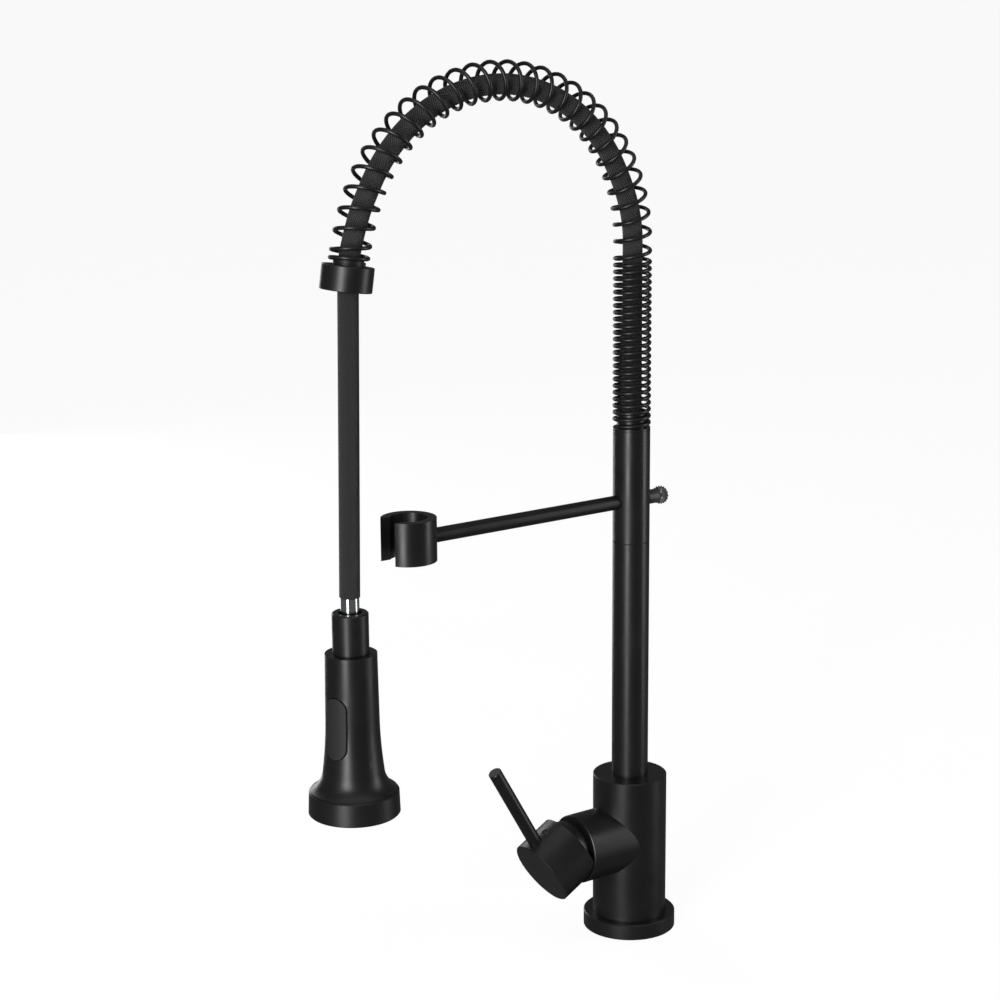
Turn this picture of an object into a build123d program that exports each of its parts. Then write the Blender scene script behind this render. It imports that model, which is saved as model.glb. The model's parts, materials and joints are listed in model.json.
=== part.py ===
from build123d import *
import math
import os

# Pre-rinse kitchen faucet with a coil spring over its hose.
# Units are millimetres. +Z is up, the origin is the centre of the base flange's
# underside, and the spray head, the holder arm and the handle all point to -Y.
# "Reach" below is the distance from the riser's axis towards -Y.

# ---- base, valve body and mounting -------------------------------------------
FLANGE_D = 62.7
FLANGE_H = 10.5
FLANGE_LEDGE = 3.0
FLANGE_BORE_D = 40.0
SEAL_OUTER_D = 57.8
SEAL_INNER_D = 52.2
SEAL_H = 1.6
BODY_D = 50.0
BODY_TOP_Z = 109.7
SHANK_D = 33.0
SHANK_BORE_D = 26.0
SHANK_SOCKET_TOP_Z = 18.0
SHANK_BOTTOM_Z = -60.0
CLAMP_TOP_Z = -30.0
DECK_WASHER_H = 3.0
CLAMP_WASHER_H = 1.5
NUT_H = 12.0
NUT_D = 46.0
NUT_LUG = 7.0
NUT_LUGS = 4
INLET_X = 6.5
INLET_THREAD_D = 9.0
INLET_THREAD_DEPTH = 12.0
INLET_PORT_D = 6.0
OUTLET_PORT_D = 8.0
RISER_PORT_D = 10.0

# ---- side branch and cartridge, all on the valve axis ------------------------
VALVE_Z = 64.8
BRANCH_D = 46.3
BRANCH_END = 47.0
CARTRIDGE_BORE_D = 35.4
CARTRIDGE_SEAT = 14.0
NUT_BORE_D = 38.5
NUT_BORE_START = 38.0
DOME_SEAT_D = 44.6
DOME_SEAM = 0.15
DOME_SEAT_START = 44.5
PORT_SEAL_H = 0.8
CARTRIDGE_D = 35.0
CARTRIDGE_CAVITY_D = 30.0
CARTRIDGE_BASE_END = 20.0
FIXED_DISC_END = 24.0
MOVING_DISC_D = 20.0
MOVING_DISC_END = 28.0
DISC_GAP = 0.05
CARRIER_PLATE_END = 31.0
ROTOR_FLANGE_END = 36.4
CARTRIDGE_WALL_START = 36.5
CARTRIDGE_END = 39.5
ROTOR_NECK_D = 20.4
ROTOR_END = 61.0
SLOT_WIDTH = 8.6
SLOT_HALF_HEIGHT = 8.5
INLET_PORT_DROP = 5.8
OUTLET_PORT_RISE = 9.0

# ---- handle: its own axis leans 30 degrees below the valve axis at rest ------
PIVOT_REACH = 56.7
HANDLE_TILT = 30.0
CAP_R = 23.3
CAP_BACK = -6.5
CAP_FRONT = 21.2
CAP_CAVITY_R = 21.3
CAP_CAVITY_END = 17.6
CAP_GAP = 0.5
CAP_BOSS_R = 8.2
CAP_BOSS_START = 11.0
DOME_R = 20.8
DOME_WALL = 1.8
DOME_FRONT = 8.0
STEM_W = 8.0
STEM_FRONT = 17.0
STEM_BACK = -2.0
FOOT_D = 5.0
FOOT_ARM = 7.0
FOOT_LINK = 3.0
FORK_CLEARANCE = 0.2
FORK_TINE = 1.6
FORK_SETBACK = 5.2
LEVER_D = 9.0
LEVER_AT = 13.6
LEVER_TOP = 87.5
LEVER_SEAT = 21.0
TENON_D = 6.0
PLUG_AT = 4.0
PLUG_D = 5.0
PLUG_DEPTH = 1.4

# ---- spout: riser, inner tube, spring and hose -------------------------------
RISER_D = 24.6
RISER_BORE_D = 20.6
RISER_TOP_Z = 272.8
TAIL_D = 27.85
TAIL_BORE_D = 28.0
TAIL_BOTTOM_Z = 86.3
TAIL_TOP_Z = 101.3
TAIL_POCKET_Z = 86.0
GLAND_D = 40.0
GLAND_BOTTOM_Z = 101.5
THRUST_WASHER_TOP_Z = 103.0
RUNNING_GAP = 0.075
INNER_TUBE_D = 18.0
INNER_TUBE_BORE_D = 15.0
INNER_TUBE_BOTTOM_Z = 235.0
COUPLER_BOTTOM_Z = 236.0
HOSE_D = 13.0
HOSE_START_Z = 338.0
SPRING_SEAT_Z = 348.9
SPRING_SEAT_TOP_Z = 350.3
SPIGOT_D = 19.6
WIRE_D = 2.6
COIL_MEAN_R = 11.4
TIGHT_TURNS = 25
TIGHT_TOP_Z = 461.9
ARCH_START_Z = 473.0
ARCH_R = 106.3
ARCH_TURN = 161.0
DROP_R = 206.0
DROP_TURN = 11.0
OPEN_TURNS = 28.5
END_TURNS = 1.5
END_PITCH = 4.6
POINTS_PER_COIL = 8
COLLAR_REACH = 216.1
COLLAR_Z = 467.7
COLLAR_TILT = 8.5
COLLAR_D = 32.0
COLLAR_H = 15.2
COLLAR_BUSH_D = 25.0
COLLAR_MOUTH_D = 22.8
COLLAR_SPIGOT_D = 18.6
COLLAR_SPIGOT_H = 4.5
HOSE_CLEARANCE = 0.4
BUSH_FLARE = 1.4
COIL_GAP = 0.1

# ---- holder arm ---------------------------------------------------------------
SLEEVE_BOTTOM_Z = 273.3
SLEEVE_TOP_Z = 348.7
LINER_BORE_D = 18.1
ARM_Z = 300.6
ARM_D = 9.5
CLIP_REACH = 175.5
CLIP_D = 35.1
CLIP_BORE_D = 23.7
CLIP_BOTTOM_Z = 287.5
CLIP_TOP_Z = 315.0
CLIP_GAP = 16.4
KNOB_D = 12.4
KNOB_NECK_D = 9.5
KNOB_NECK_START = 12.6
KNOB_START = 20.5
KNOB_END = 28.5
STUD_D = 5.0
STUD_TIP = 9.3

# ---- hanging hose and spray head ----------------------------------------------
HEAD_REACH = 219.4
DROP_TOP_Z = 465.0
DROP_TOP_REACH = 215.4
DROP_END_Z = 271.3
FERRULE_D = 11.8
FERRULE_FLANGE_D = 16.0
FERRULE_FLANGE_Z = 249.5
FERRULE_TAIL_D = 9.0
FERRULE_TAIL_Z = 241.5
FERRULE_BORE_D = 7.0
FERRULE_SEAL_D = 12.6
FERRULE_TOP_Z = 271.0
NECK_D = 22.9
NECK_TOP_Z = 261.5
NECK_BOTTOM_Z = 235.7
SHELL_TOP_Z = 235.5
SHELL_TOP_R = 16.3
SHELL_WALL = 2.2
BELL_TOP_Z = 146.6
BELL_BOTTOM_Z = 131.2
BELL_TOP_R = 28.4
BELL_BOTTOM_R = 28.9
BELL_BORE_D = 53.0
FACE_BOTTOM_Z = 132.8
FACE_TOP_Z = 136.0
NOZZLE_D = 2.2
JET_D = 0.9
NOZZLE_HEIGHT = 1.2
NOZZLE_RINGS = ((14.0, 12), (18.5, 18), (23.0, 24))
AERATOR_D = 20.0
BUTTON_TURN = 20.0
BUTTON_Z = 190.5
BUTTON_W = 14.8
BUTTON_H = 39.2
BUTTON_GAP = 0.6
BUTTON_PROUD = 0.8
BUTTON_FLOOR = 13.6
BUTTON_PIVOT = 10.5
BUTTON_PIN_D = 2.0
CORE_D = 23.0
SPOOL_D = 7.6
SPOOL_ROOT_D = 5.0
PIN_POCKET = 8.0
PIN_EAR_X = 7.9
PIN_EAR_TOP = 11.8
FINGER_TIP = 2.9

FROM_BOTTOM = (Align.CENTER, Align.CENTER, Align.MIN)


def cylinder(diameter, start, end):
    """A solid cylinder on the local Z axis, from start to end."""
    return Pos(0, 0, start) * Cylinder(diameter / 2, end - start, align=FROM_BOTTOM)


def ring(outer, inner, start, end):
    """A plain ring on the local Z axis."""
    return cylinder(outer, start, end) - cylinder(inner, start - 1, end + 1)


def block(x, y, start, end):
    """A bar of x by y section on the local Z axis."""
    return Pos(0, 0, start) * Box(x, y, end - start, align=FROM_BOTTOM)


def revolved(points):
    """A turned solid from (radius, z) points, joined by straight lines."""
    return revolve(make_face(Plane.XZ * Polyline(*points, close=True)), Axis.Z)


def half_space(size, start):
    """A large block that fills the local +Z side of start."""
    return Pos(0, 0, start) * Box(size, size, size, align=FROM_BOTTOM)


# Local frames. In the valve frame Z is reach and Y is up; in the handle frame Z
# runs along the cap, away from the pivot, and Y points up the lever.
VALVE = Pos(0, 0, VALVE_Z) * Rot(90, 0, 0)
HANDLE = Pos(0, -PIVOT_REACH, VALVE_Z) * Rot(90 + HANDLE_TILT, 0, 0)
ARM = Pos(0, 0, ARM_Z) * Rot(90, 0, 0)
COLLAR = Pos(0, -COLLAR_REACH, COLLAR_Z) * Rot(-COLLAR_TILT, 0, 0)
HEAD = Pos(0, -HEAD_REACH, 0)
BUTTON = Pos(0, -HEAD_REACH, BUTTON_Z) * Rot(0, 0, BUTTON_TURN) * Rot(90, 0, 0)
CLIP = Pos(0, -CLIP_REACH, 0)


# ---- base ---------------------------------------------------------------------
def base_flange():
    body = cylinder(FLANGE_D, 0, FLANGE_H)
    body = chamfer(body.edges().group_by(Axis.Z)[-1], 0.6)
    body -= cylinder(BODY_D + 0.1, FLANGE_LEDGE, FLANGE_H + 1)
    body -= cylinder(FLANGE_BORE_D, -1, FLANGE_LEDGE + 1)
    return body - ring(SEAL_OUTER_D + 0.2, SEAL_INNER_D - 0.2, -1, SEAL_H)


def base_seal():
    return ring(SEAL_OUTER_D, SEAL_INNER_D, 0, SEAL_H)


def water_ports(start, end):
    """The two inlet ports and the outlet port, as drills along the valve axis."""
    drills = Pos(0, OUTLET_PORT_RISE, 0) * cylinder(OUTLET_PORT_D, start, end)
    for side in (-1, 1):
        drills += Pos(side * INLET_X, -INLET_PORT_DROP, 0) * cylinder(INLET_PORT_D, start, end)
    return drills


def valve_body():
    body = cylinder(BODY_D, FLANGE_LEDGE, BODY_TOP_Z)
    body = chamfer(body.edges().group_by(Axis.Z)[-1], 0.5)
    branch = cylinder(BRANCH_D, 0, BRANCH_END)
    branch = chamfer(branch.edges().group_by(Axis.Z)[-1], 0.4)
    body += VALVE * branch
    body -= VALVE * cylinder(CARTRIDGE_BORE_D, CARTRIDGE_SEAT, BRANCH_END + 1)
    body -= VALVE * cylinder(NUT_BORE_D, NUT_BORE_START, BRANCH_END + 1)
    body -= VALVE * cylinder(DOME_SEAT_D, DOME_SEAT_START, BRANCH_END + 1)
    body -= VALVE * water_ports(0, CARTRIDGE_SEAT + 1)
    body -= cylinder(SHANK_D, FLANGE_LEDGE - 1, SHANK_SOCKET_TOP_Z)
    for side in (-1, 1):
        column = Pos(side * INLET_X, 0, 0)
        thread_top = SHANK_SOCKET_TOP_Z + INLET_THREAD_DEPTH
        body -= column * cylinder(INLET_THREAD_D, SHANK_SOCKET_TOP_Z - 1, thread_top)
        body -= column * cylinder(INLET_PORT_D, thread_top - 1, VALVE_Z - INLET_PORT_DROP)
    body -= cylinder(RISER_PORT_D, VALVE_Z + OUTLET_PORT_RISE, TAIL_POCKET_Z + 1)
    body -= cylinder(TAIL_BORE_D, TAIL_POCKET_Z, BODY_TOP_Z + 1)
    return body - cylinder(GLAND_D, GLAND_BOTTOM_Z, BODY_TOP_Z + 1)


def mounting_shank():
    return ring(SHANK_D, SHANK_BORE_D, SHANK_BOTTOM_Z, SHANK_SOCKET_TOP_Z - 0.5)


def deck_washer():
    return ring(52, SHANK_D + 0.6, CLAMP_TOP_Z - DECK_WASHER_H, CLAMP_TOP_Z)


def clamp_washer():
    top = CLAMP_TOP_Z - DECK_WASHER_H
    return ring(50, SHANK_D + 0.6, top - CLAMP_WASHER_H, top)


def mounting_nut():
    top = CLAMP_TOP_Z - DECK_WASHER_H - CLAMP_WASHER_H
    nut = cylinder(NUT_D, top - NUT_H, top)
    for lug in range(NUT_LUGS):
        wing = Pos(NUT_D / 2, 0, 0) * block(NUT_LUG, 6, top - NUT_H, top - 3)
        nut += Rot(0, 0, lug * 360 / NUT_LUGS) * wing
    return nut - cylinder(SHANK_D, top - NUT_H - 1, top + 1)


def thrust_washer():
    return ring(36, RISER_D + 2 * RUNNING_GAP, GLAND_BOTTOM_Z, THRUST_WASHER_TOP_Z)


def gland_nut():
    return ring(GLAND_D, RISER_D + 2 * RUNNING_GAP, THRUST_WASHER_TOP_Z, BODY_TOP_Z)


# ---- cartridge ------------------------------------------------------------------
def port_seals():
    start = CARTRIDGE_SEAT
    end = CARTRIDGE_SEAT + PORT_SEAL_H
    seals = Pos(0, OUTLET_PORT_RISE, 0) * ring(OUTLET_PORT_D + 2.4, OUTLET_PORT_D, start, end)
    for side in (-1, 1):
        place = Pos(side * INLET_X, -INLET_PORT_DROP, 0)
        seals += place * ring(INLET_PORT_D + 2.4, INLET_PORT_D, start, end)
    return VALVE * seals


def cartridge_base():
    start = CARTRIDGE_SEAT + PORT_SEAL_H
    base = cylinder(CARTRIDGE_D, start, CARTRIDGE_BASE_END)
    return VALVE * (base - water_ports(start - 1, CARTRIDGE_BASE_END + 1))


def fixed_disc():
    disc = cylinder(CARTRIDGE_CAVITY_D - 0.4, CARTRIDGE_BASE_END, FIXED_DISC_END)
    return VALVE * (disc - water_ports(CARTRIDGE_BASE_END - 1, FIXED_DISC_END + 1))


def cartridge_housing():
    housing = cylinder(CARTRIDGE_D, CARTRIDGE_BASE_END, CARTRIDGE_END)
    housing -= cylinder(CARTRIDGE_CAVITY_D, CARTRIDGE_BASE_END - 1, CARTRIDGE_WALL_START)
    neck_hole = ROTOR_NECK_D + 2 * RUNNING_GAP
    return VALVE * (housing - cylinder(neck_hole, CARTRIDGE_WALL_START - 1, CARTRIDGE_END + 1))


def mixer_rotor():
    rotor = cylinder(CARTRIDGE_CAVITY_D - 0.2, CARRIER_PLATE_END + 0.1, ROTOR_FLANGE_END)
    rotor += cylinder(ROTOR_NECK_D, ROTOR_FLANGE_END - 1, ROTOR_END)
    rotor -= block(SLOT_WIDTH, 2 * SLOT_HALF_HEIGHT, CARRIER_PLATE_END - 1, ROTOR_END + 1)
    pin = Pos(0, 0, PIVOT_REACH) * Rot(0, 90, 0) * cylinder(3, -15, 15)
    return VALVE * (rotor - pin)


def pivot_pin():
    return VALVE * (Pos(0, 0, PIVOT_REACH) * Rot(0, 90, 0) * cylinder(3, -9.4, 9.4))


def moving_disc():
    lift = FOOT_ARM * math.sin(math.radians(HANDLE_TILT))
    disc = cylinder(MOVING_DISC_D, FIXED_DISC_END + DISC_GAP, MOVING_DISC_END)
    disc -= cylinder(9, FIXED_DISC_END, FIXED_DISC_END + 2)
    return VALVE * (Pos(0, lift, 0) * disc)


def disc_carrier():
    """The plate on the moving disc and the fork that the stem's foot pushes."""
    lift = FOOT_ARM * math.sin(math.radians(HANDLE_TILT))
    fork_end = PIVOT_REACH - FORK_SETBACK
    fork_gap = FOOT_D + 2 * FORK_CLEARANCE
    carrier = cylinder(MOVING_DISC_D, MOVING_DISC_END, CARRIER_PLATE_END)
    carrier += block(STEM_W, fork_gap + 2 * FORK_TINE, CARRIER_PLATE_END - 1, fork_end)
    carrier -= block(STEM_W + 1, fork_gap, PIVOT_REACH - FOOT_ARM - FOOT_D, fork_end + 1)
    return VALVE * (Pos(0, lift, 0) * carrier)


def retaining_nut():
    return VALVE * ring(NUT_BORE_D - 0.1, 24, CARTRIDGE_END + 0.1, DOME_SEAT_START - 0.1)


def dome_cover():
    """The ball-shaped cover that shows between the branch and the cap."""
    end = PIVOT_REACH + DOME_FRONT
    ball = Pos(0, 0, PIVOT_REACH) * Sphere(DOME_R)
    hollow = Pos(0, 0, PIVOT_REACH) * Sphere(DOME_R - DOME_WALL)
    seat = cylinder(DOME_SEAT_D - 2 * DOME_SEAM, DOME_SEAT_START, BRANCH_END - 0.1)
    shell = (ball & cylinder(3 * DOME_R, DOME_SEAT_START, end)) + seat
    bore = cylinder(30, DOME_SEAT_START - 1, BRANCH_END)
    return VALVE * (shell - hollow - bore)


# ---- handle ---------------------------------------------------------------------
def stem():
    """The square stem, its pivot hub and the round foot behind the pivot."""
    bar = block(STEM_W, STEM_W, STEM_BACK, STEM_FRONT)
    bar += block(STEM_W - 0.4, FOOT_LINK, -FOOT_ARM, STEM_BACK + 1)
    bar += Pos(0, 0, -FOOT_ARM) * Rot(0, 90, 0) * cylinder(FOOT_D, -3.8, 3.8)
    return HANDLE * (bar - Rot(0, 90, 0) * cylinder(3.15, -5, 5))


def handle_cap():
    cap = cylinder(2 * CAP_R, CAP_BACK, CAP_FRONT)
    cap = chamfer(cap.edges().group_by(Axis.Z)[-1], 0.5)
    cavity = Sphere(CAP_CAVITY_R) & cylinder(3 * CAP_R, 0, CAP_CAVITY_END)
    cap -= cavity + cylinder(2 * CAP_CAVITY_R, CAP_BACK - 1, 0)
    cap += cylinder(2 * CAP_BOSS_R, CAP_BOSS_START, CAP_CAVITY_END)
    cap -= block(STEM_W, STEM_W, CAP_BOSS_START - 1, CAP_CAVITY_END)
    up = Pos(0, 0, LEVER_AT) * Rot(-90, 0, 0)
    cap -= up * cylinder(LEVER_D, LEVER_SEAT, CAP_R + 5)
    cap -= up * cylinder(TENON_D, STEM_W / 2, CAP_R + 5)
    cap -= Pos(0, 0, PLUG_AT) * Rot(-90, 0, 0) * cylinder(PLUG_D, CAP_R - PLUG_DEPTH, CAP_R + 5)
    clearance = VALVE * cylinder(6 * CAP_R, 0, BRANCH_END + CAP_GAP)
    return HANDLE * cap - clearance


def lever_rod():
    rod = cylinder(LEVER_D, LEVER_SEAT, LEVER_TOP)
    rod = chamfer(rod.edges().group_by(Axis.Z)[-1], 0.4)
    rod += cylinder(TENON_D, STEM_W / 2, LEVER_SEAT + 1)
    return HANDLE * (Pos(0, 0, LEVER_AT) * Rot(-90, 0, 0) * rod)


def index_plug():
    plug = cylinder(PLUG_D, CAP_R - PLUG_DEPTH, CAP_R - 0.25)
    plug -= ring(3.6, 2.2, CAP_R - 0.75, CAP_R + 1)
    return HANDLE * (Pos(0, 0, PLUG_AT) * Rot(-90, 0, 0) * plug)


# ---- spout ----------------------------------------------------------------------
def spout_tail():
    tail = cylinder(TAIL_D, TAIL_BOTTOM_Z, TAIL_TOP_Z)
    tail += cylinder(RISER_BORE_D, TAIL_TOP_Z - 1, 125)
    for groove in (89.5, 95.0):
        tail -= ring(TAIL_D + 2, 24, groove, groove + 2.4)
    return tail - cylinder(12, TAIL_BOTTOM_Z - 1, 126)


def spout_o_rings():
    seals = Part()
    for groove in (89.5, 95.0):
        seals += ring(TAIL_D + 0.06, 24, groove + 0.1, groove + 2.3)
    return seals


def riser_tube():
    return ring(RISER_D, RISER_BORE_D, TAIL_TOP_Z + 0.1, RISER_TOP_Z)


def tube_coupler():
    return ring(RISER_BORE_D, INNER_TUBE_D, COUPLER_BOTTOM_Z, RISER_TOP_Z - 1)


def inner_tube():
    return ring(INNER_TUBE_D, INNER_TUBE_BORE_D, INNER_TUBE_BOTTOM_Z, SPRING_SEAT_Z - 0.1)


def sleeve_washer():
    return ring(RISER_D - 1.6, LINER_BORE_D, RISER_TOP_Z, SLEEVE_BOTTOM_Z - 0.1)


def spring_seat():
    seat = cylinder(RISER_D, SPRING_SEAT_Z, SPRING_SEAT_TOP_Z)
    seat += cylinder(SPIGOT_D, SPRING_SEAT_TOP_Z - 0.5, SPRING_SEAT_TOP_Z + 11)
    seat += cylinder(INNER_TUBE_BORE_D, HOSE_START_Z, SPRING_SEAT_Z + 0.5)
    return seat - cylinder(HOSE_D, HOSE_START_Z - 1, SPRING_SEAT_TOP_Z + 12)


def hose_tail():
    """The brass end on the hose, sealed in the inner tube."""
    tail = cylinder(INNER_TUBE_BORE_D, HOSE_START_Z - 12, HOSE_START_Z)
    return tail - cylinder(8, HOSE_START_Z - 13, HOSE_START_Z + 1)


def arch_point(bend):
    """The point of the arch's centre line where it has turned by so many degrees."""
    crown = math.radians(min(bend, ARCH_TURN))
    reach = ARCH_R * (1 - math.cos(crown))
    z = ARCH_START_Z + ARCH_R * math.sin(crown)
    fall = math.radians(max(bend, ARCH_TURN))
    reach += DROP_R * (math.cos(crown) - math.cos(fall)) if bend > ARCH_TURN else 0
    z += DROP_R * (math.sin(fall) - math.sin(crown)) if bend > ARCH_TURN else 0
    return Vector(0, -reach, z)


def arch_bend(distance):
    """How far the arch has turned after this length of its centre line."""
    crown_length = ARCH_R * math.radians(ARCH_TURN)
    if distance <= crown_length:
        return math.degrees(distance / ARCH_R)
    return ARCH_TURN + math.degrees((distance - crown_length) / DROP_R)


def arch_path():
    """The hose's centre line: up the riser, over the arch and into the collar."""
    ends = (0, ARCH_TURN, ARCH_TURN + DROP_TURN)
    points = [arch_point(bend) for bend in (ends[0], ends[1] / 2, ends[1], sum(ends[1:]) / 2, ends[2])]
    rise = Line((0, 0, HOSE_START_Z), points[0])
    crown = ThreePointArc(points[0], points[1], points[2])
    fall = ThreePointArc(points[2], points[3], points[4])
    return Wire([*rise.edges(), *crown.edges(), *fall.edges()])


def hose_upper():
    path = arch_path()
    section = Pos(0, 0, HOSE_START_Z) * Circle(HOSE_D / 2)
    return sweep(section, path=path)


def coil_axis(distance):
    """Where the coil's axis is, and how far it has turned, this far above the close coils."""
    above_arch = distance - (ARCH_START_Z - TIGHT_TOP_Z)
    if above_arch <= 0:
        return Vector(0, 0, TIGHT_TOP_Z + distance), 0.0
    bend = arch_bend(above_arch)
    return arch_point(bend), bend


def open_coil_length():
    """The length of the coil's axis from the close coils to the last one, on the collar."""
    last_z = COLLAR_Z + COLLAR_H / 2 + WIRE_D / 2 + COIL_GAP
    crown = math.radians(ARCH_TURN)
    fall = math.pi - math.asin((last_z - arch_point(ARCH_TURN).Z) / DROP_R + math.sin(crown))
    return ARCH_START_Z - TIGHT_TOP_Z + ARCH_R * crown + DROP_R * (fall - crown)


def coil_point(turns):
    """A point of the wire's centre line, this many turns above the spring's seat."""
    spin = 2 * math.pi * turns
    spoke = Vector(COIL_MEAN_R * math.sin(spin), -COIL_MEAN_R * math.cos(spin), 0)
    first_z = SPRING_SEAT_TOP_Z + WIRE_D / 2 + COIL_GAP
    if turns <= TIGHT_TURNS:
        return Vector(0, 0, first_z + (TIGHT_TOP_Z - first_z) * turns / TIGHT_TURNS) + spoke
    pitch = (open_coil_length() - END_TURNS * END_PITCH) / OPEN_TURNS
    open_turns = turns - TIGHT_TURNS
    distance = pitch * min(open_turns, OPEN_TURNS) + END_PITCH * max(open_turns - OPEN_TURNS, 0)
    centre, bend = coil_axis(distance)
    return centre + spoke.rotate(Axis.X, bend)


def spring():
    """The coil: a close helix up the riser's line, then an open one over the arch."""
    count = round((TIGHT_TURNS + OPEN_TURNS + END_TURNS) * POINTS_PER_COIL)
    wire = Spline(*[coil_point(index / POINTS_PER_COIL) for index in range(count + 1)])
    section = Plane(origin=wire @ 0, z_dir=wire % 0) * Circle(WIRE_D / 2)
    return sweep(section, path=wire, is_frenet=True)


def spring_collar():
    half = COLLAR_H / 2
    collar = cylinder(COLLAR_D, -half, half)
    collar = chamfer(collar.edges().group_by(Axis.Z)[-1] + collar.edges().group_by(Axis.Z)[0], 0.4)
    return COLLAR * (collar - cylinder(COLLAR_BUSH_D, -half - 1, half + 1))


def collar_bush():
    """The bush in the collar: a spigot inside the coil and a bell mouth below."""
    half = COLLAR_H / 2
    bore = HOSE_D / 2 + HOSE_CLEARANCE
    return COLLAR * revolved([
        (bore, half + COLLAR_SPIGOT_H),
        (COLLAR_SPIGOT_D / 2, half + COLLAR_SPIGOT_H),
        (COLLAR_SPIGOT_D / 2, half),
        (COLLAR_BUSH_D / 2, half),
        (COLLAR_BUSH_D / 2, -half),
        (COLLAR_MOUTH_D / 2, -half),
        (bore + BUSH_FLARE, 1.0),
        (bore, half / 2),
    ])


# ---- holder arm -------------------------------------------------------------------
def arm_sleeve():
    sleeve = ring(RISER_D, RISER_BORE_D, SLEEVE_BOTTOM_Z, SLEEVE_TOP_Z)
    sleeve -= ARM * cylinder(TENON_D, 0, RISER_D)
    return sleeve - ARM * cylinder(STUD_D + 2 * RUNNING_GAP, -RISER_D, 0)


def arm_liner():
    liner = ring(RISER_BORE_D, LINER_BORE_D, SLEEVE_BOTTOM_Z, SLEEVE_TOP_Z)
    return liner - ARM * cylinder(STUD_D + 2 * RUNNING_GAP, -RISER_D, 0)


def arm_rod():
    rod = ARM * cylinder(ARM_D, 0, CLIP_REACH)
    rod -= cylinder(RISER_D, ARM_Z - ARM_D, ARM_Z + ARM_D)
    rod -= CLIP * cylinder(CLIP_D, ARM_Z - ARM_D, ARM_Z + ARM_D)
    return rod + ARM * cylinder(TENON_D, RISER_BORE_D / 2 + 0.2, CLIP_REACH - CLIP_D / 2 + 3)


def holder_clip():
    clip = CLIP * ring(CLIP_D, CLIP_BORE_D, CLIP_BOTTOM_Z, CLIP_TOP_Z)
    gap = Box(CLIP_GAP, CLIP_D, CLIP_TOP_Z - CLIP_BOTTOM_Z + 2, align=(Align.CENTER, Align.MAX, Align.MIN))
    clip -= CLIP * Pos(0, 0, CLIP_BOTTOM_Z - 1) * gap
    return clip - ARM * cylinder(TENON_D, 0, CLIP_REACH - CLIP_D / 2 + 3)


def lock_knob():
    knob = cylinder(KNOB_D, KNOB_START, KNOB_END)
    knob = fillet(knob.edges().group_by(Axis.Z)[-1], 2.6)
    knob = fillet(knob.edges().group_by(Axis.Z)[0], 1.6)
    knob += cylinder(KNOB_NECK_D, KNOB_NECK_START, KNOB_START + 1)
    knob -= cylinder(STUD_D, KNOB_NECK_START - 1, KNOB_END - 3)
    return ARM * Rot(180, 0, 0) * knob


def knob_stud():
    stud = cylinder(STUD_D, STUD_TIP, KNOB_END - 3)
    stud = chamfer(stud.edges().group_by(Axis.Z)[0], 0.6)
    return ARM * Rot(180, 0, 0) * stud


# ---- hanging hose -------------------------------------------------------------------
def hose_lower():
    run = Line((0, -DROP_TOP_REACH, DROP_TOP_Z), (0, -HEAD_REACH, DROP_END_Z))
    return sweep(Plane(origin=run @ 0, z_dir=run % 0) * Circle(HOSE_D / 2), path=run)


def hose_ferrule():
    """The chrome end of the hose, with the flange that the neck turns on."""
    ferrule = cylinder(FERRULE_D, FERRULE_FLANGE_Z, FERRULE_TOP_Z)
    ferrule += cylinder(FERRULE_FLANGE_D, FERRULE_FLANGE_Z - 2, FERRULE_FLANGE_Z + 2)
    ferrule += cylinder(FERRULE_TAIL_D, FERRULE_TAIL_Z, FERRULE_FLANGE_Z - 1.5)
    return HEAD * (ferrule - cylinder(FERRULE_BORE_D, FERRULE_TAIL_Z - 1.5, FERRULE_TOP_Z + 1))


def ferrule_seal():
    return HEAD * ring(FERRULE_SEAL_D, FERRULE_TAIL_D, FERRULE_TAIL_Z + 1.5, FERRULE_TAIL_Z + 3.7)


# ---- spray head ------------------------------------------------------------------------
def head_neck():
    neck = cylinder(NECK_D, NECK_BOTTOM_Z, NECK_TOP_Z)
    neck = chamfer(neck.edges().group_by(Axis.Z)[-1], 0.7)
    neck += cylinder(19, NECK_BOTTOM_Z - 9, NECK_BOTTOM_Z + 1)
    neck -= cylinder(14.6, 255, NECK_TOP_Z + 1)
    neck -= cylinder(FERRULE_D + 2 * RUNNING_GAP, 251, 256)
    neck -= cylinder(16.4, 239.5, 252)
    return HEAD * (neck - cylinder(12.8, NECK_BOTTOM_Z - 10, 240))


def shell_outline(inset):
    """The flared outline of the head, moved inwards by a wall thickness."""
    top = (SHELL_TOP_R - inset, SHELL_TOP_Z)
    waist = (16.85 - inset, 196.0)
    hip = (19.4 - inset, 158.8)
    lip = (27.4 - inset, BELL_TOP_Z + 0.3)
    side = Line((*top, 0), (*waist, 0))
    flank = ThreePointArc((*waist, 0), (17.62 - inset, 176.0, 0), (*hip, 0))
    flare = ThreePointArc((*hip, 0), (21.9 - inset, 151.9, 0), (*lip, 0))
    return side, flank, flare


def shell_solid(inset):
    curves = shell_outline(inset)
    lid = Line((0, SHELL_TOP_Z, 0), curves[0] @ 0)
    lip = curves[-1] @ 1
    floor = Line(lip, (0, lip.Y, 0))
    axis = Line((0, lip.Y, 0), (0, SHELL_TOP_Z, 0))
    face = make_face([lid, *curves, floor, axis])
    return revolve(Plane.XZ * face, Axis.Z)


def oblong(width, height, start, end):
    """An upright oblong prism in the button frame, where Z points out of the head."""
    return extrude(Pos(0, 0, start) * Rot(0, 0, 90) * SlotOverall(height, width), amount=end - start)


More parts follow.
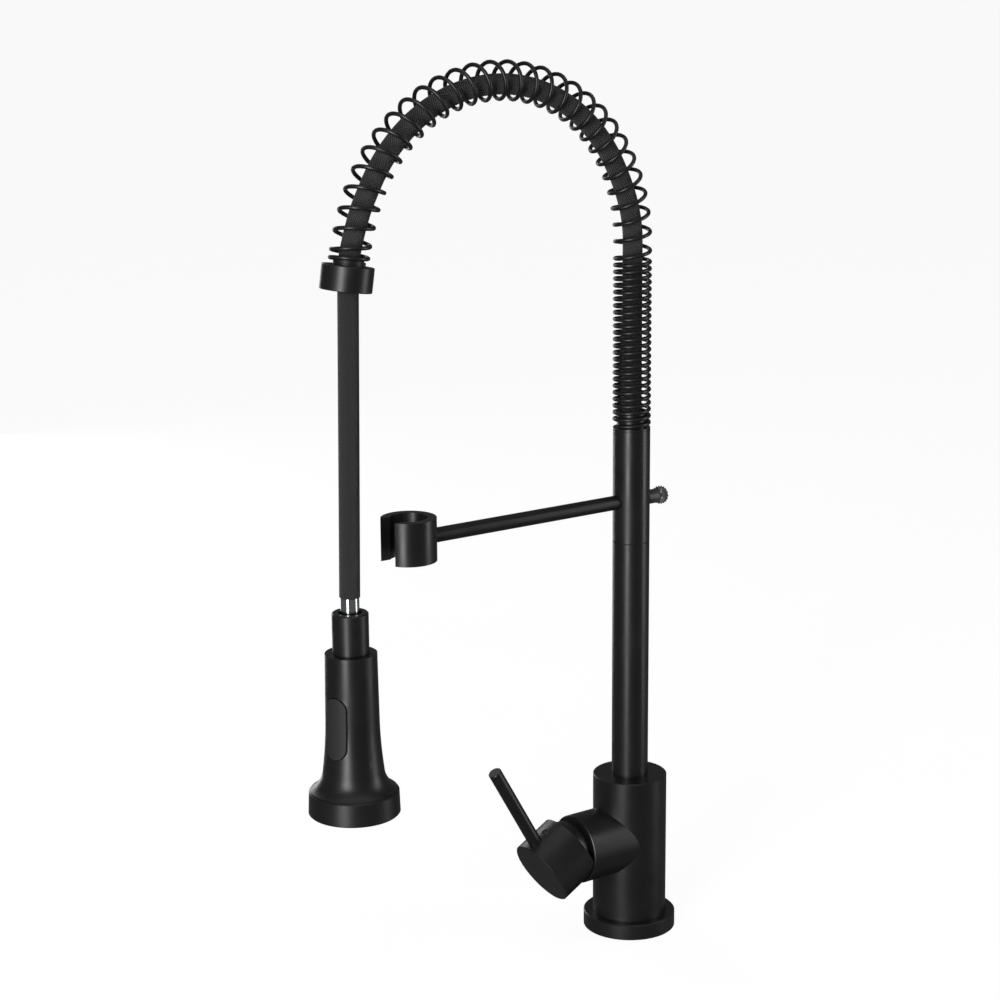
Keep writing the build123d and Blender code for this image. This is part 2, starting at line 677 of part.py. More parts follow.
def head_shell():
    shell = shell_solid(0)
    cavity = shell_solid(SHELL_WALL) & cylinder(80, BELL_TOP_Z - 1, SHELL_TOP_Z - SHELL_WALL)
    shell -= cavity
    shell -= cylinder(19, SHELL_TOP_Z - 10, SHELL_TOP_Z + 1)
    slot = BUTTON * oblong(BUTTON_W + 2 * BUTTON_GAP, BUTTON_H + 2 * BUTTON_GAP, 8, 30)
    return HEAD * shell - slot


def bell_ring():
    ring_body = revolved([
        (BELL_BORE_D / 2, BELL_BOTTOM_Z),
        (BELL_BOTTOM_R - 0.8, BELL_BOTTOM_Z),
        (BELL_BOTTOM_R, BELL_BOTTOM_Z + 0.8),
        (BELL_TOP_R, BELL_TOP_Z - 1.0),
        (BELL_TOP_R - 1.0, BELL_TOP_Z),
        (24.4, BELL_TOP_Z),
        (24.4, BELL_TOP_Z - 2.0),
        (BELL_BORE_D / 2, BELL_TOP_Z - 2.0),
    ])
    return HEAD * ring_body


def nozzle_places():
    places = []
    for radius, count in NOZZLE_RINGS:
        for index in range(count):
            angle = 2 * math.pi * index / count
            places.append((radius * math.cos(angle), radius * math.sin(angle)))
    return places


def at_nozzles(diameter, start, end):
    """One cylinder at each nozzle."""
    return [Pos(x, y, 0) * cylinder(diameter, start, end) for x, y in nozzle_places()]


def spray_face():
    face = cylinder(BELL_BORE_D, FACE_BOTTOM_Z, FACE_TOP_Z)
    face -= cylinder(AERATOR_D, FACE_BOTTOM_Z - 1, FACE_TOP_Z + 1)
    return HEAD * (face - at_nozzles(NOZZLE_D, FACE_BOTTOM_Z - 1, FACE_TOP_Z + 1))


def spray_nozzles():
    """The soft nozzles and the sheet that joins them behind the face."""
    sheet = ring(BELL_BORE_D - 1, AERATOR_D + 1, FACE_TOP_Z, FACE_TOP_Z + 1.5)
    start = FACE_BOTTOM_Z - NOZZLE_HEIGHT
    nubs = at_nozzles(NOZZLE_D, start, FACE_TOP_Z + 0.5)
    jets = at_nozzles(JET_D, start - 1, FACE_TOP_Z + 3)
    return HEAD * (sheet + nubs - jets)


def distributor_plate():
    plate = cylinder(48, 141.0, 143.5)
    plate += ring(AERATOR_D + 4, AERATOR_D, FACE_TOP_Z + 1.6, 142)
    for index in range(8):
        plate -= Rot(0, 0, index * 45) * Pos(18, 0, 0) * cylinder(4, 140, 145)
    return HEAD * (plate - cylinder(8, 140, 145))


def aerator():
    insert = ring(AERATOR_D, AERATOR_D - 4, FACE_BOTTOM_Z - 0.8, 140.5)
    grid = cylinder(AERATOR_D - 3, 134, 136)
    for offset in range(-3, 4):
        grid -= Pos(offset * 2.2, 0, 0) * block(1.2, 13, 133, 137)
    return HEAD * (insert + grid)


def diverter_body():
    """The plastic core from the neck to the spray plate, with ears for the button."""
    core = cylinder(CORE_D, 143.5, 224.0)
    core -= cylinder(14.2, 206, 225)
    core -= cylinder(SPOOL_D + 2 * RUNNING_GAP, 164, 207)
    core -= cylinder(6, 143, 165)
    pocket = BUTTON * oblong(BUTTON_W + 4, BUTTON_H + 4, PIN_POCKET, 30)
    window = BUTTON * block(4.0, 9.0, 0, PIN_POCKET + 1)
    return HEAD * core - pocket - window + BUTTON * pin_ears()


def pin_ears():
    """Two ears beside the button's rib, bored for its pin."""
    ears = Part()
    for side in (-1, 1):
        ear = block(1.6, 5, PIN_POCKET - 2, PIN_EAR_TOP)
        ears += Pos(side * PIN_EAR_X, 0, 0) * ear
    return ears - button_pin_at_rest(BUTTON_PIN_D, PIN_EAR_X + 2)


def button_pin_at_rest(diameter, half_length):
    return Pos(0, 0, BUTTON_PIVOT) * Rot(0, 90, 0) * cylinder(diameter, -half_length, half_length)


def check_valve():
    body = ring(14.0, 8.0, 207, 222)
    body += cylinder(9, 212, 215) - cylinder(5, 211, 216)
    return HEAD * body


def inlet_screen():
    return HEAD * (cylinder(12.6, 226.5, 229) - cylinder(9, 228, 231))


def button_pin():
    return BUTTON * button_pin_at_rest(BUTTON_PIN_D, PIN_EAR_X + 0.6)


def rocker_button():
    """A pad that follows the head's surface, a rib on the pin, and a finger inside."""
    pad = HEAD * shell_solid(-BUTTON_PROUD)
    pad &= BUTTON * oblong(BUTTON_W, BUTTON_H, BUTTON_FLOOR, 30)
    rib = block(9, 5, BUTTON_PIVOT - 1.9, BUTTON_FLOOR + 1)
    rib -= button_pin_at_rest(BUTTON_PIN_D + 2 * RUNNING_GAP, 6)
    finger = block(3, 2, FINGER_TIP, BUTTON_PIVOT - 1.5)
    return pad + BUTTON * (rib + finger)


def diverter_spool():
    """The sliding valve, with a groove for the button's finger and two seal grooves."""
    spool = cylinder(SPOOL_D, 178, 203)
    for low, high in ((180, 182), (BUTTON_Z - 1.2, BUTTON_Z + 1.2), (199, 201)):
        spool -= ring(SPOOL_D + 2, SPOOL_ROOT_D, low, high)
    return HEAD * spool


NODES = (
    base_flange, base_seal, valve_body, mounting_shank, deck_washer, clamp_washer,
    mounting_nut, thrust_washer, gland_nut, port_seals, cartridge_base, fixed_disc,
    cartridge_housing, mixer_rotor, pivot_pin, moving_disc, disc_carrier,
    retaining_nut, dome_cover, stem, handle_cap, lever_rod, index_plug, spout_tail,
    spout_o_rings, riser_tube, tube_coupler, inner_tube, sleeve_washer, spring_seat,
    hose_tail, hose_upper, spring, spring_collar, collar_bush, arm_sleeve, arm_liner,
    arm_rod, holder_clip, lock_knob, knob_stud, hose_lower, hose_ferrule,
    ferrule_seal, head_neck, head_shell, bell_ring, spray_face, spray_nozzles,
    distributor_plate, aerator, diverter_body, check_valve, inlet_screen,
    button_pin, rocker_button, diverter_spool,
)

print(f"hose arc radii, mm: {ARCH_R} through {ARCH_TURN} degrees, {DROP_R} through {DROP_TURN} degrees")
print("hanging hose: straight, so it has no arc")

os.makedirs("parts", exist_ok=True)
for node in NODES:
    export_step(node(), f"parts/{node.__name__}.step")
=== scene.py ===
import json
import math

import bpy
from mathutils import Matrix, Vector


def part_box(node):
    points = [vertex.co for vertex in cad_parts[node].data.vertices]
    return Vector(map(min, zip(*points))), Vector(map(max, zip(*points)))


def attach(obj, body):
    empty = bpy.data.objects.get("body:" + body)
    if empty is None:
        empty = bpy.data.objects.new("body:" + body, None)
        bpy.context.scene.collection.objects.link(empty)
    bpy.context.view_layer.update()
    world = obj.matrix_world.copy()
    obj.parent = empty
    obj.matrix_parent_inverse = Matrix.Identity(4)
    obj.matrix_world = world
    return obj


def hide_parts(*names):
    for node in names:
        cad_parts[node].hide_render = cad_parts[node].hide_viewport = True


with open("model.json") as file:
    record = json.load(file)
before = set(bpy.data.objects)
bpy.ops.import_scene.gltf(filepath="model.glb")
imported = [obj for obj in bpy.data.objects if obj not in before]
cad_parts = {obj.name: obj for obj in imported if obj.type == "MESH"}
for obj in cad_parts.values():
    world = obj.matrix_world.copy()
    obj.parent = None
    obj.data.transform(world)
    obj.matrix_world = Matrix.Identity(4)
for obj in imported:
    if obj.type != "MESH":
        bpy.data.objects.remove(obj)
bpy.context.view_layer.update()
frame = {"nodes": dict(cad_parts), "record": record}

MM = 0.001

# ---- the route of the hose and of the spring, as the CAD has it (metres) ------
HOSE_R = 6.5 * MM
BRAID_CELLS = 26
YARNS_PER_CELL = 5
BRAID_STEP = 0.95 * MM
BRAID_RELIEF = 0.30 * MM
HOSE_START_Z = 338.0 * MM
SPRING_SEAT_TOP_Z = 350.3 * MM
WIRE_R = 1.3 * MM
COIL_MEAN_R = 11.4 * MM
COIL_GAP = 0.1 * MM
TIGHT_TURNS = 25
TIGHT_TOP_Z = 461.9 * MM
OPEN_TURNS = 28.5
END_TURNS = 1.5
END_PITCH = 4.6 * MM
POINTS_PER_COIL = 28
ARCH_START_Z = 473.0 * MM
ARCH_R = 106.3 * MM
ARCH_TURN = math.radians(161.0)
DROP_R = 206.0 * MM
DROP_TURN = math.radians(11.0)
COLLAR_TOP_Z = 475.3 * MM
HOSE_SAG = 2.3 * MM
LEAN_IN_TURN = 0.5
LEAN_OUT_TURN = 0.35
DROP_POINTS = 240
KNOB_HEAD = 8.0 * MM
KNOB_NECK_R = 4.75 * MM
KNURL_ROOT_R = 5.4 * MM
KNURL_SPIKE = 0.95 * MM
KNOB_ROUNDING = 0.72
KNURL_ROWS = 8
KNURL_SIDES = 24
DROP_ROUTE = ((0, -0.2154, 0.465), (0, -0.2174, 0.36815), (0, -0.2194, 0.2713))


# ---- camera: at the photograph's viewing angle ----------------------------------
def make_camera():
    eye = Vector((1.1864, -0.9368, 0.6658))
    forward = Vector((-0.7963, 0.5575, -0.2348)).normalized()
    level = forward.cross(Vector((0, 0, 1))).normalized()
    roll = Matrix.Rotation(0.008, 3, forward)
    right = roll @ level
    up = right.cross(forward)
    data = bpy.data.cameras.new("camera")
    data.lens = 84.31
    data.sensor_width = 36.0
    camera = bpy.data.objects.new("camera", data)
    camera.matrix_world = Matrix((right, up, -forward)).transposed().to_4x4()
    camera.location = eye
    bpy.context.scene.collection.objects.link(camera)
    bpy.context.scene.camera = camera
    return level, forward


# How much lighter a fully rubbed edge of a coated part is than the rest of it.
WEAR_LIFT = 0.03


# ---- material building blocks -----------------------------------------------------
def new_material(name, roughness, metallic=0.0, specular=0.5):
    """A material with its shader, and the object coordinates that its textures use."""
    material = bpy.data.materials.new(name)
    material.use_nodes = True
    tree = material.node_tree
    shader = tree.nodes["Principled BSDF"]
    shader.inputs["Roughness"].default_value = roughness
    shader.inputs["Metallic"].default_value = metallic
    shader.inputs["Specular IOR Level"].default_value = specular
    place = tree.nodes.new("ShaderNodeTexCoord").outputs["Object"]
    return material, tree, shader, place


def noise(tree, place, scale, detail=3.0, stretch=None):
    if stretch:
        mapping = tree.nodes.new("ShaderNodeMapping")
        mapping.inputs["Scale"].default_value = stretch
        tree.links.new(place, mapping.inputs["Vector"])
        place = mapping.outputs["Vector"]
    node = tree.nodes.new("ShaderNodeTexNoise")
    node.inputs["Scale"].default_value = scale
    node.inputs["Detail"].default_value = detail
    tree.links.new(place, node.inputs["Vector"])
    return node.outputs["Fac"]


def remap(tree, value, low, high, to_low, to_high):
    node = tree.nodes.new("ShaderNodeMapRange")
    node.inputs["From Min"].default_value = low
    node.inputs["From Max"].default_value = high
    node.inputs["To Min"].default_value = to_low
    node.inputs["To Max"].default_value = to_high
    tree.links.new(value, node.inputs["Value"])
    return node.outputs["Result"]


def calculate(tree, operation, first, second=0.0):
    node = tree.nodes.new("ShaderNodeMath")
    node.operation = operation
    for socket, value in zip(node.inputs, (first, second)):
        if isinstance(value, (int, float)):
            socket.default_value = value
        else:
            tree.links.new(value, socket)
    return node.outputs["Value"]


def blend_colours(tree, factor, first, second):
    node = tree.nodes.new("ShaderNodeMix")
    node.data_type = "RGBA"
    tree.links.new(factor, node.inputs["Factor"])
    for socket, value in ((node.inputs[6], first), (node.inputs[7], second)):
        if isinstance(value, tuple):
            socket.default_value = (*value, 1.0)
        else:
            tree.links.new(value, socket)
    return node.outputs[2]


def bump(tree, shader, height, depth):
    node = tree.nodes.new("ShaderNodeBump")
    node.inputs["Strength"].default_value = 1.0
    node.inputs["Distance"].default_value = depth
    tree.links.new(height, node.inputs["Height"])
    tree.links.new(node.outputs["Normal"], shader.inputs["Normal"])


def worn_edges(tree, place, width):
    """A mask that is 1 on edges that hands and cloths have rubbed, broken up by noise."""
    bevel = tree.nodes.new("ShaderNodeBevel")
    bevel.samples = 4
    bevel.inputs["Radius"].default_value = width
    geometry = tree.nodes.new("ShaderNodeNewGeometry")
    dot = tree.nodes.new("ShaderNodeVectorMath")
    dot.operation = "DOT_PRODUCT"
    tree.links.new(bevel.outputs["Normal"], dot.inputs[0])
    tree.links.new(geometry.outputs["Normal"], dot.inputs[1])
    edge = remap(tree, dot.outputs["Value"], 0.995, 0.86, 0.0, 1.0)
    patches = remap(tree, noise(tree, place, 260), 0.35, 0.7, 0.25, 1.0)
    return calculate(tree, "MULTIPLY", edge, patches)


def coated(name, dark, light, roughness, grain, depth, specular=0.5, wear=0.5, edge=0.45 * MM):
    """A sprayed or moulded skin: fine grain, faint colour clouds, smudges, rubbed edges."""
    material, tree, shader, place = new_material(name, roughness, specular=specular)
    fine = noise(tree, place, grain, 4.0)
    cloud = noise(tree, place, 24.0)
    skin = blend_colours(tree, calculate(tree, "MULTIPLY", fine, cloud), dark, light)
    worn = tuple(wear * WEAR_LIFT + channel for channel in light)
    colour = blend_colours(tree, worn_edges(tree, place, edge), skin, worn)
    tree.links.new(colour, shader.inputs["Base Color"])
    smudge = remap(tree, noise(tree, place, 42.0), 0.3, 0.7, roughness - 0.05, roughness + 0.05)
    gloss = calculate(tree, "ADD", smudge, remap(tree, fine, 0.3, 0.7, -0.03, 0.03))
    tree.links.new(gloss, shader.inputs["Roughness"])
    bump(tree, shader, fine, depth)
    return material


def turned(name, dark, light, roughness, grain, depth, stretch):
    """Bare machined metal: fine tool lines across the stretch, and slight tarnish."""
    material, tree, shader, place = new_material(name, roughness, metallic=1.0)
    lines = noise(tree, place, grain, 2.0, stretch)
    tarnish = noise(tree, place, 70.0)
    tree.links.new(blend_colours(tree, tarnish, light, dark), shader.inputs["Base Color"])
    streaks = calculate(tree, "MULTIPLY", lines, tarnish)
    gloss = remap(tree, streaks, 0.1, 0.5, roughness - 0.04, roughness + 0.08)
    tree.links.new(gloss, shader.inputs["Roughness"])
    bump(tree, shader, lines, depth)
    return material


def braided(name, thread, gap_shade, sheen):
    """Nylon braid: yarn threads inside each raised diamond of the mesh, with painted shade darkening
    the colour between them.
    """
    material, tree, shader, place = new_material(name, 0.62, specular=0.4)
    shader.inputs["Sheen Weight"].default_value = sheen
    shader.inputs["Sheen Roughness"].default_value = 0.4
    uv = tree.nodes.new("ShaderNodeUVMap").outputs["UV"]
    parts = tree.nodes.new("ShaderNodeSeparateXYZ")
    tree.links.new(uv, parts.inputs["Vector"])
    around, along = parts.outputs["X"], parts.outputs["Y"]
    waves = []
    for axis in (around, along):
        waves.append(calculate(tree, "COSINE", calculate(tree, "MULTIPLY", axis, math.pi)))
    relief = remap(tree, calculate(tree, "MULTIPLY", *waves), -0.5, 1.0, 0.0, 1.0)
    slant = calculate(tree, "ADD", around, along)
    yarn = calculate(tree, "SINE", calculate(tree, "MULTIPLY", slant, YARNS_PER_CELL * math.pi))
    fibre = noise(tree, place, 3200.0)
    # Painted shade: the colour follows the relief, light on the raised diamonds and dark in the gaps
    # between them, with a random fibre tone.
    relief_shade_and_fibre = calculate(tree, "MULTIPLY", relief, remap(tree, fibre, 0.2, 0.8, 0.6, 1.3))
    tree.links.new(blend_colours(tree, relief_shade_and_fibre, gap_shade, thread), shader.inputs["Base Color"])
    tree.links.new(remap(tree, fibre, 0.2, 0.8, 0.5, 0.75), shader.inputs["Roughness"])
    height = calculate(tree, "ADD", relief, calculate(tree, "MULTIPLY", yarn, 0.12))
    bump(tree, shader, height, 0.22 * MM)
    return material


POWDER = coated(
    "powder_coat", (0.007, 0.007, 0.0075), (0.012, 0.012, 0.0125), 0.36, 2600.0, 0.018 * MM, 0.5,
)
WIRE = coated(
    "coated_wire", (0.007, 0.007, 0.0075), (0.012, 0.012, 0.0125), 0.38, 2200.0, 0.015 * MM, 0.5, 0.2,
)
PLASTIC = coated(
    "black_plastic", (0.010, 0.010, 0.011), (0.018, 0.018, 0.019), 0.48, 3400.0, 0.02 * MM, 0.4,
)
BUTTON_RUBBER = coated(
    "button_rubber", (0.020, 0.020, 0.021), (0.032, 0.032, 0.033), 0.60, 3000.0, 0.02 * MM, 0.35,
)
NOZZLE_RUBBER = coated(
    "nozzle_rubber", (0.045, 0.045, 0.047), (0.07, 0.07, 0.072), 0.62, 3000.0, 0.02 * MM, 0.35,
)
SEAL_RUBBER = coated(
    "seal_rubber", (0.012, 0.012, 0.012), (0.02, 0.02, 0.02), 0.7, 1800.0, 0.02 * MM, 0.3,
)
ACETAL = coated("acetal", (0.62, 0.61, 0.57), (0.72, 0.71, 0.68), 0.42, 1500.0, 0.01 * MM, 0.5)
CERAMIC = coated("ceramic", (0.74, 0.73, 0.70), (0.82, 0.81, 0.79), 0.16, 3000.0, 0.004 * MM, 0.6)
KNURL = coated(
    "knurled_metal", (0.03, 0.03, 0.031), (0.16, 0.16, 0.165), 0.34, 1400.0, 0.03 * MM, 0.6, 1.2,
)
# The braid's dark second colour is painted shade for the gaps between its diamonds.
BRAID = braided("nylon_braid", (0.085, 0.085, 0.09), (0.003, 0.003, 0.0035), 0.12)
CHROME = turned(
    "chrome", (0.66, 0.67, 0.69), (0.80, 0.81, 0.83), 0.08, 900.0, 0.003 * MM, (1, 1, 0.1),
)
BRASS = turned(
    "brass", (0.36, 0.25, 0.10), (0.60, 0.46, 0.22), 0.28, 2400.0, 0.012 * MM, (0.2, 0.2, 1),
)
STEEL = turned(
    "steel", (0.38, 0.38, 0.39), (0.58, 0.58, 0.59), 0.30, 2400.0, 0.01 * MM, (0.2, 0.2, 1),
)

BY_SLOT = {
    "black_metal": POWDER, "black_wire": WIRE, "black_plastic": PLASTIC, "grey_rubber": BUTTON_RUBBER,
    "black_rubber": SEAL_RUBBER, "braided_nylon": BRAID, "chrome": CHROME, "knurled_metal": KNURL,
    "brass": BRASS, "steel": STEEL, "acetal": ACETAL, "ceramic": CERAMIC,
}
BY_NODE = {"spray_nozzles": NOZZLE_RUBBER, "sleeve_washer": SEAL_RUBBER}


def dress_cad_nodes():
    """Every CAD node gets its own material, or else its slot's."""
    for entry in frame["record"]["subparts"]:
        node = entry["node"]
        mesh = frame["nodes"][node].data
        mesh.materials.clear()
        mesh.materials.append(BY_NODE.get(node, BY_SLOT[entry["material_slot"]]))


# ---- lines that tubes follow ----------------------------------------------------------
def arch_point(bend, radius_change=0.0):
    """The arch's centre line where it has turned this far, moved inwards by radius_change."""
    crown = min(bend, ARCH_TURN)
    fall = max(bend, ARCH_TURN)
    reach = ARCH_R * (1 - math.cos(crown)) + DROP_R * (math.cos(ARCH_TURN) - math.cos(fall))
    z = ARCH_START_Z + ARCH_R * math.sin(crown) - DROP_R * (math.sin(ARCH_TURN) - math.sin(fall))
    inward = Vector((0, -math.cos(bend), -math.sin(bend)))
    return Vector((0, -reach, z)) + inward * radius_change


def arch_bend(distance):
    crown_length = ARCH_R * ARCH_TURN
    if distance <= crown_length:
        return distance / ARCH_R
    return ARCH_TURN + (distance - crown_length) / DROP_R


def open_coil_length():
    """The length of the coil's axis from the close coils to the last one, on the collar."""
    last_z = COLLAR_TOP_Z + WIRE_R + COIL_GAP
    fall = math.pi - math.asin((last_z - arch_point(ARCH_TURN).z) / DROP_R + math.sin(ARCH_TURN))
    return ARCH_START_Z - TIGHT_TOP_Z + ARCH_R * ARCH_TURN + DROP_R * (fall - ARCH_TURN)


def coil_point(turns):
    """A point of the wire's centre line, this many turns above the spring's seat."""
    spin = 2 * math.pi * turns
    spoke = Vector((math.sin(spin), -math.cos(spin), 0)) * COIL_MEAN_R
    first_z = SPRING_SEAT_TOP_Z + WIRE_R + COIL_GAP
    if turns <= TIGHT_TURNS:
        return Vector((0, 0, first_z + (TIGHT_TOP_Z - first_z) * turns / TIGHT_TURNS)) + spoke
    pitch = (open_coil_length() - END_TURNS * END_PITCH) / OPEN_TURNS
    open_turns = turns - TIGHT_TURNS
    distance = pitch * min(open_turns, OPEN_TURNS) + END_PITCH * max(open_turns - OPEN_TURNS, 0)
    above_arch = distance - (ARCH_START_Z - TIGHT_TOP_Z)
    if above_arch <= 0:
        return Vector((0, 0, TIGHT_TOP_Z + distance)) + spoke
    bend = arch_bend(above_arch)
    return arch_point(bend) + Matrix.Rotation(bend, 3, "X") @ spoke


def smooth_step(value):
    value = min(max(value, 0.0), 1.0)
    return value * value * (3 - 2 * value)


def hose_line():
    """The hose inside the spring: central in the riser, leaning inwards over the arch."""
    total = ARCH_TURN + DROP_TURN
    points = []
    rise = ARCH_START_Z - HOSE_START_Z
    steps = round(rise / BRAID_STEP)
    for step in range(steps):
        points.append(Vector((0, 0, HOSE_START_Z + rise * step / steps)))
    length = ARCH_R * ARCH_TURN + DROP_R * DROP_TURN
    steps = round(length / BRAID_STEP)
    for step in range(steps + 1):
        bend = arch_bend(length * step / steps)
        lean = smooth_step(bend / LEAN_IN_TURN) * smooth_step((total - bend) / LEAN_OUT_TURN)
        points.append(arch_point(bend, HOSE_SAG * lean))
    return points


def spline_points(control, resolution):
    """The points of the smooth NURBS line with these control points."""
    curve = bpy.data.curves.new("route", "CURVE")
    curve.dimensions = "3D"
    curve.resolution_u = resolution
    spline = curve.splines.new("NURBS")
    spline.points.add(len(control) - 1)
    for point, place in zip(spline.points, control):
        point.co = (*place, 1.0)
    spline.order_u = 3
    spline.use_endpoint_u = True
    route = bpy.data.objects.new("route", curve)
    mesh = bpy.data.meshes.new_from_object(route)
    points = [vertex.co.copy() for vertex in mesh.vertices]
    bpy.data.objects.remove(route)
    bpy.data.meshes.remove(mesh)
    return points


# ---- mesh builders ---------------------------------------------------------------------
def add_mesh(name, vertices, faces, material, smooth=True):
    mesh = bpy.data.meshes.new(name)
    mesh.from_pydata(vertices, [], faces)
    mesh.materials.append(material)
    mesh.polygons.foreach_set("use_smooth", [smooth] * len(mesh.polygons))
    mesh.update()
    piece = bpy.data.objects.new(name, mesh)
    bpy.context.scene.collection.objects.link(piece)
    return piece


def braid_tube(name, line):
    """A tube of raised diamonds, with capped ends. Its UVs count half-diamonds."""
    sides = 2 * BRAID_CELLS
    vertices = []
    for index, centre in enumerate(line):
        ahead = line[min(index + 1, len(line) - 1)]
        behind = line[max(index - 1, 0)]
        heading = (ahead - behind).normalized()
        across = Vector((1, 0, 0))
        third = heading.cross(across)
        for side in range(sides):
            angle = 2 * math.pi * side / sides
            relief = BRAID_RELIEF if (side + index) % 2 else 0.0
            spoke = across * math.cos(angle) + third * math.sin(angle)
            vertices.append(centre + spoke * (HOSE_R - relief))
    faces = []
    for index in range(len(line) - 1):
        for side in range(sides):
            beside = (side + 1) % sides
            low, high = index * sides, (index + 1) * sides
            faces.append((low + side, low + beside, high + beside, high + side))
    last = (len(line) - 1) * sides
    faces.append(tuple(range(sides - 1, -1, -1)))
    faces.append(tuple(last + side for side in range(sides)))
    piece = add_mesh(name, vertices, faces, BRAID)
    layer = piece.data.uv_layers.new(name="UVMap")
    for polygon in piece.data.polygons[:-2]:
        ring, side = divmod(polygon.index, sides)
        corners = ((side, ring), (side + 1, ring), (side + 1, ring + 1), (side, ring + 1))
        for loop, corner in zip(polygon.loop_indices, corners):
            layer.data[loop].uv = corner
    return piece


def wire_piece(name, line, radius, material):
    """A round wire with capped ends, as a beveled curve."""
    curve = bpy.data.curves.new(name, "CURVE")
    curve.dimensions = "3D"
    curve.bevel_depth = radius
    curve.bevel_resolution = 4
    curve.use_fill_caps = True
    spline = curve.splines.new("POLY")
    spline.points.add(len(line) - 1)
    for point, place in zip(spline.points, line):
        point.co = (*place, 1.0)
    spline.use_smooth = True
    curve.materials.append(material)
    piece = bpy.data.objects.new(name, curve)
    bpy.context.scene.collection.objects.link(piece)
    return piece


# ---- the pieces that need more than the CAD's shape ---------------------------------------
def make_hoses():
    upper = braid_tube("hose_in_spring", hose_line())
    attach(upper, "spout")
    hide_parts("hose_upper")
    line = spline_points(DROP_ROUTE, DROP_POINTS)
    lower = braid_tube("hose_hanging", line)
    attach(lower, "drop")
    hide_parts("hose_lower")


def make_spring():
    count = round((TIGHT_TURNS + OPEN_TURNS + END_TURNS) * POINTS_PER_COIL)
    line = [coil_point(step / POINTS_PER_COIL) for step in range(count + 1)]
    spring = wire_piece("spring_coil", line, WIRE_R, WIRE)
    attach(spring, "spout")
    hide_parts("spring")


def make_knob():
    """The locking knob: a plain neck and a round head with a sharp diamond knurl."""
    low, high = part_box("lock_knob")
    centre_z = (low.z + high.z) / 2
    head_start = high.y - KNOB_HEAD
    stations = [(low.y, KNOB_NECK_R, 0.0), (head_start, KNOB_NECK_R, 0.0)]
    for row in range(KNURL_ROWS + 1):
        part = row / KNURL_ROWS
        swell = math.sqrt(1 - (abs(2 * part - 1) ** 3) * KNOB_ROUNDING)
        y = head_start + (high.y - head_start) * part
        stations.append((y, KNURL_ROOT_R * swell, KNURL_SPIKE * swell))
    vertices = []
    for row, (y, radius, spike) in enumerate(stations):
        for side in range(KNURL_SIDES):
            angle = 2 * math.pi * side / KNURL_SIDES
            reach = radius + (spike if (side + row) % 2 else 0.0)
            vertices.append((reach * math.cos(angle), y, centre_z + reach * math.sin(angle)))
    faces = []
    for row in range(len(stations) - 1):
        for side in range(KNURL_SIDES):
            beside = (side + 1) % KNURL_SIDES
            near, far = row * KNURL_SIDES, (row + 1) * KNURL_SIDES
            if (side + row) % 2:
                faces.append((near + side, far + side, near + beside))
                faces.append((far + side, far + beside, near + beside))
            else:
                faces.append((near + side, far + side, far + beside))
                faces.append((near + side, far + beside, near + beside))
    last = (len(stations) - 1) * KNURL_SIDES
    faces.append(tuple(range(KNURL_SIDES)))
    faces.append(tuple(last + side for side in range(KNURL_SIDES - 1, -1, -1)))
    knob = add_mesh("knob_knurled", vertices, faces, KNURL, smooth=False)
    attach(knob, "lock_knob")
    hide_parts("lock_knob")


FLOOR_HALF_WIDTH = 30.0
FLOOR_GLOW = 0.93
WORLD_LIGHT = 0.10
LIGHT_TARGET = Vector((0, -0.1, 0.3))
# name, degrees round, distance, height above the target, width, tall, watts
PANELS = (
    ("key", -24, 1.9, 0.2, 0.50, 1.7, 33),
    ("fill", 88, 1.9, 0.2, 0.50, 1.7, 11),
    ("rim", -150, 1.8, 0.2, 0.5, 1.7, 7.3),
    ("top", 0, 0.05, 2.2, 2.0, 2.0, 9),
)


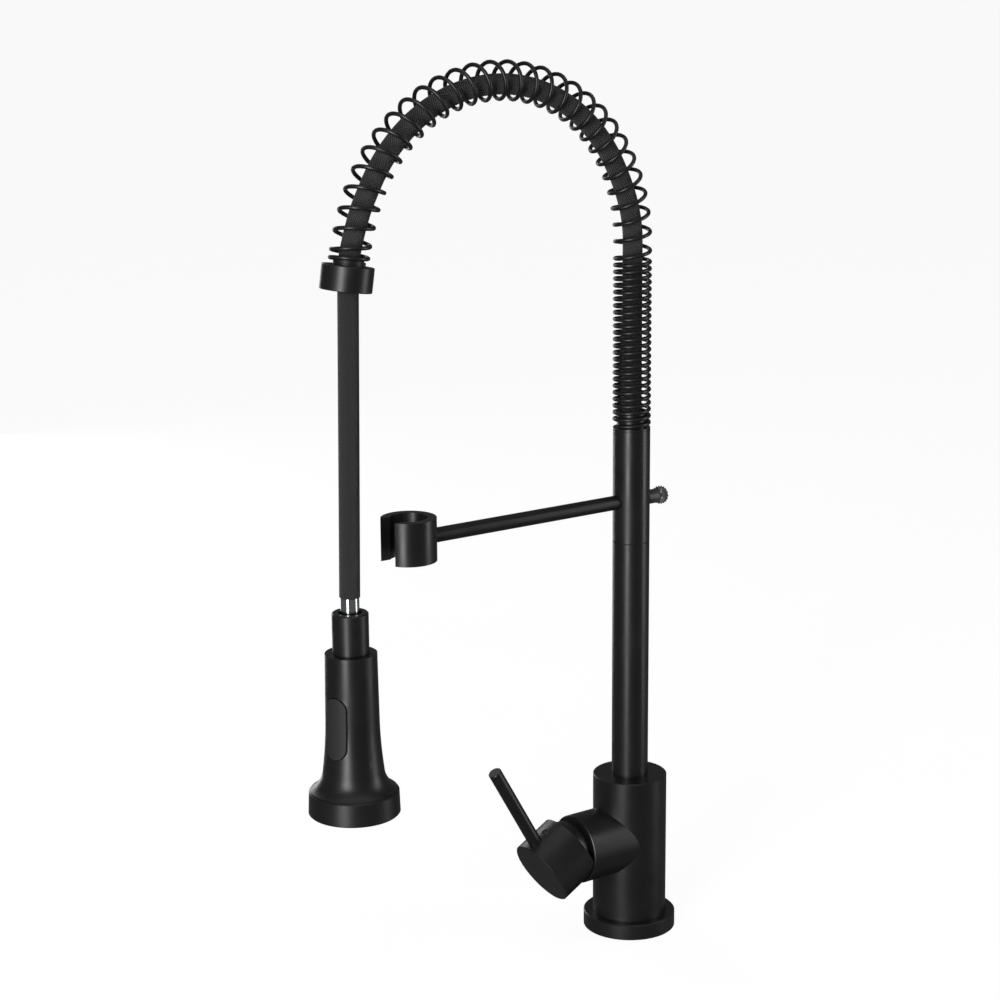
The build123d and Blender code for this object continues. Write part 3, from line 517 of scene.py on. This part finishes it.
# ---- floor and light -------------------------------------------------------------------------
def make_floor():
    """A pale floor that only the camera sees: it lights, shadows and mirrors nothing."""
    material, tree, shader, place = new_material("floor", 0.9, specular=0.1)
    paper = noise(tree, place, 6.0)
    colour = blend_colours(tree, paper, (0.13, 0.13, 0.13), (0.15, 0.15, 0.15))
    tree.links.new(colour, shader.inputs["Base Color"])
    shader.inputs["Emission Color"].default_value = (1.0, 1.0, 1.0, 1.0)
    seen = tree.nodes.new("ShaderNodeLightPath").outputs["Is Camera Ray"]
    tree.links.new(calculate(tree, "MULTIPLY", seen, FLOOR_GLOW), shader.inputs["Emission Strength"])
    half = FLOOR_HALF_WIDTH
    corners = [(-half, -half, 0), (half, -half, 0), (half, half, 0), (-half, half, 0)]
    floor = add_mesh("floor", corners, [(0, 1, 2, 3)], material)
    floor.visible_glossy = False
    floor.visible_diffuse = False
    floor.visible_shadow = False


def panel(name, towards, distance, height, width, tall, power, right, forward):
    """A soft box round the object; 0 degrees is behind the camera, positive is to its right."""
    flat = Vector((-forward.x, -forward.y, 0)).normalized()
    angle = math.radians(towards)
    data = bpy.data.lights.new(name, "AREA")
    data.shape = "RECTANGLE"
    data.size = width
    data.size_y = tall
    data.energy = power
    light = bpy.data.objects.new(name, data)
    outward = (flat * math.cos(angle) + right * math.sin(angle)) * distance
    light.location = LIGHT_TARGET + outward + Vector((0, 0, height))
    aim = LIGHT_TARGET + Vector((0, 0, height * 0.4)) - light.location
    light.rotation_euler = aim.to_track_quat("-Z", "Y").to_euler()
    bpy.context.scene.collection.objects.link(light)


def make_lights(right, forward):
    for settings in PANELS:
        panel(*settings, right, forward)
    world = bpy.data.worlds.new("studio")
    world.use_nodes = True
    bpy.context.scene.world = world
    tree = world.node_tree
    plain = tree.nodes["Background"]
    plain.inputs["Color"].default_value = (1, 1, 1, 1)
    plain.inputs["Strength"].default_value = WORLD_LIGHT
    seen = tree.nodes.new("ShaderNodeBackground")
    seen.inputs["Color"].default_value = (1, 1, 1, 1)
    seen.inputs["Strength"].default_value = 1.0
    mix = tree.nodes.new("ShaderNodeMixShader")
    path = tree.nodes.new("ShaderNodeLightPath")
    tree.links.new(path.outputs["Is Camera Ray"], mix.inputs["Fac"])
    tree.links.new(plain.outputs["Background"], mix.inputs[1])
    tree.links.new(seen.outputs["Background"], mix.inputs[2])
    tree.links.new(mix.outputs["Shader"], tree.nodes["World Output"].inputs["Surface"])
    bpy.context.scene.view_settings.view_transform = "Standard"


right, forward = make_camera()
dress_cad_nodes()
make_hoses()
make_spring()
make_knob()
make_floor()
make_lights(right, forward)
